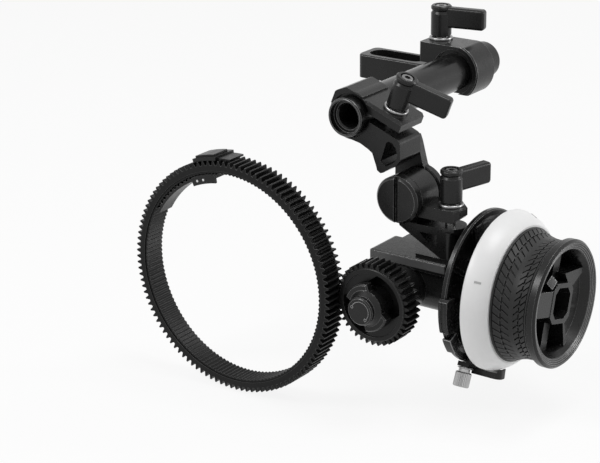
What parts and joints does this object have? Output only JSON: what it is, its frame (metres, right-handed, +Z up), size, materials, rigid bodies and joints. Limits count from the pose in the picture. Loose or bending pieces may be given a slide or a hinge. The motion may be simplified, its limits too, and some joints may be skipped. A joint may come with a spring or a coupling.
{
  "type": "follow focus unit",
  "caption": "Follow focus unit: a rod clamp and tilting arm carry a gearbox with a handwheel, marking disk and stops, whose drive gear turns a toothed ring round a lens.",
  "frame": {"origin": "centre of the support rod's front end", "axes": "+X points out to the handwheel, +Y back along the support rod, +Z up"},
  "size_m": [0.166, 0.1284, 0.1346],
  "materials": {
    "black_metal": "satin black anodised",
    "rod_metal": "smooth black anodised tube",
    "dish_metal": "matt black anodised",
    "screw_steel": "blackened steel",
    "lever_screw_steel": "dark steel with a worn rim",
    "washer_steel": "dark plated steel",
    "bright_steel": "turned bright steel",
    "gear_steel": "cut gear steel, lightly greased",
    "bush_brass": "plain bearing brass",
    "thumb_steel": "knurled bright steel",
    "gear_plastic": "hard black plastic",
    "ring_rubber": "firm black rubber",
    "strap_plastic": "flexible black plastic",
    "white_plastic": "smooth white write-on plastic",
    "grip_rubber": "textured black rubber"
  },
  "bodies": {
    "mount": {"mount_clamp": "black_metal", "mount_lever_washer": "washer_steel"},
    "mount_lever": {"mount_lever_stud": "bright_steel", "mount_lever_screw": "lever_screw_steel", "mount_lever_spring": "bright_steel"},
    "mount_handle": {"mount_lever_handle": "black_metal"},
    "rod": {"support_rod": "rod_metal"},
    "arm": {"arm_body": "black_metal", "arm_pivot_cap": "black_metal", "arm_lever_washer": "washer_steel"},
    "arm_lever": {"arm_lever_stud": "bright_steel", "arm_lever_screw": "lever_screw_steel", "arm_lever_spring": "bright_steel"},
    "arm_handle": {"arm_lever_handle": "black_metal"},
    "bracket": {"bracket_body": "black_metal", "bracket_screws": "screw_steel", "gearbox_housing": "black_metal", "gearbox_cover": "black_metal", "cover_screws": "screw_steel", "wheel_shaft_bushes": "bush_brass", "drive_shaft_bushes": "bush_brass", "stop_dish": "dish_metal", "dish_screws": "screw_steel", "bracket_lever_washer": "washer_steel"},
    "bracket_lever": {"bracket_lever_stud": "bright_steel", "bracket_lever_screw": "lever_screw_steel", "bracket_lever_spring": "bright_steel"},
    "bracket_handle": {"bracket_lever_handle": "black_metal"},
    "wheel": {"wheel_shaft": "bright_steel", "wheel_bevel_gear": "gear_steel", "wheel_shaft_ring": "bright_steel", "handwheel_core": "black_metal", "handwheel_grip": "grip_rubber", "marking_disk": "white_plastic", "wheel_retaining_screw": "screw_steel"},
    "drive": {"drive_shaft": "bright_steel", "drive_bevel_gear": "gear_steel", "drive_shaft_ring": "bright_steel", "gear_hub": "bright_steel", "gear_lock_pin": "bright_steel", "drive_gear": "gear_plastic"},
    "gear_lock": {"gear_lock_knob": "black_metal"},
    "lens_ring": {"lens_gear_ring": "ring_rubber", "lens_ring_liner": "ring_rubber", "lens_ring_strap": "strap_plastic", "lens_ring_buckle": "strap_plastic", "lens_ring_clip": "strap_plastic", "lens_ring_pins": "bright_steel"},
    "stop_a": {"stop_a": "black_metal"},
    "stop_b": {"stop_b": "black_metal"},
    "pointer": {"pointer_arm": "black_metal", "thumbscrew_washer": "washer_steel"},
    "thumbscrew": {"pointer_thumbscrew": "thumb_steel"}
  },
  "joints": [
    {"name": "rod_slide", "type": "slide", "parent": "mount", "child": "rod", "axis": [0, 1, 0], "range_m": [-0.008, 0.054]},
    {"name": "arm_swing", "type": "hinge", "parent": "rod", "child": "arm", "pos_m": [0, 0.011, 0], "axis": [0, -1, 0], "range_deg": [0, 60]},
    {"name": "bracket_tilt", "type": "hinge", "parent": "arm", "child": "bracket", "pos_m": [0.022, 0.011, -0.0287], "axis": [0, -1, 0], "range_deg": [0, 30]},
    {"name": "mount_lever_turn", "type": "hinge", "parent": "mount", "child": "mount_lever", "pos_m": [-0.011, 0.0855, 0.0105], "axis": [0, 0, 1], "range_deg": [0, 75]},
    {"name": "mount_lever_lift", "type": "slide", "parent": "mount_lever", "child": "mount_handle", "axis": [0, 0, 1], "range_m": [0, 0.003], "stiffness_N_per_m": 300, "springref_m": -0.001, "deforming": ["mount_lever_spring"]},
    {"name": "arm_lever_turn", "type": "hinge", "parent": "arm", "child": "arm_lever", "pos_m": [0.0157, 0.011, 0.00318], "axis": [0.36, 0, 0.933], "range_deg": [-75, 0]},
    {"name": "arm_lever_lift", "type": "slide", "parent": "arm_lever", "child": "arm_handle", "axis": [0.36, 0, 0.933], "range_m": [0, 0.003], "stiffness_N_per_m": 300, "springref_m": -0.001, "deforming": ["arm_lever_spring"]},
    {"name": "bracket_lever_turn", "type": "hinge", "parent": "bracket", "child": "bracket_lever", "pos_m": [0.0393, 0.0123, -0.0302], "axis": [0, 0, 1], "range_deg": [-75, 0]},
    {"name": "bracket_lever_lift", "type": "slide", "parent": "bracket_lever", "child": "bracket_handle", "axis": [0, 0, 1], "range_m": [0, 0.003], "stiffness_N_per_m": 300, "springref_m": -0.001, "deforming": ["bracket_lever_spring"]},
    {"name": "wheel_spin", "type": "hinge", "parent": "bracket", "child": "wheel", "pos_m": [0.0246, 0.022, -0.063], "axis": [1, 0, 0], "range_deg": [-210, 660]},
    {"name": "drive_spin", "type": "hinge", "parent": "bracket", "child": "drive", "pos_m": [0.0246, -0.014, -0.063], "axis": [0, 1, 0], "range_deg": [-215, 665]},
    {"name": "lens_ring_spin", "type": "hinge", "parent": "mount", "child": "lens_ring", "pos_m": [-0.0362, -0.02, -0.06364], "axis": [0, 1, 0], "range_deg": [-225, 75]},
    {"name": "gear_lock_turn", "type": "hinge", "parent": "drive", "child": "gear_lock", "pos_m": [0.0246, -0.017, -0.063], "axis": [0, 1, 0], "range_deg": [0, 90]},
    {"name": "stop_a_slide", "type": "hinge", "parent": "bracket", "child": "stop_a", "pos_m": [0.048, 0.022, -0.063], "axis": [1, 0, 0], "range_deg": [-110, 0]},
    {"name": "stop_b_slide", "type": "hinge", "parent": "bracket", "child": "stop_b", "pos_m": [0.048, 0.022, -0.063], "axis": [1, 0, 0], "range_deg": [0, 20]},
    {"name": "pointer_slide", "type": "hinge", "parent": "bracket", "child": "pointer", "pos_m": [0.048, 0.022, -0.063], "axis": [1, 0, 0], "range_deg": [0, 90]},
    {"name": "thumbscrew_turn", "type": "hinge", "parent": "pointer", "child": "thumbscrew", "pos_m": [0.04888, 0.00817, -0.09406], "axis": [0, -0.4067, -0.9135], "range_deg": [0, 90]}
  ],
  "couplings": [
    {"joint": "drive_spin", "follows": "wheel_spin", "ratio": 1},
    {"joint": "lens_ring_spin", "follows": "wheel_spin", "ratio": -0.33333}
  ]
}
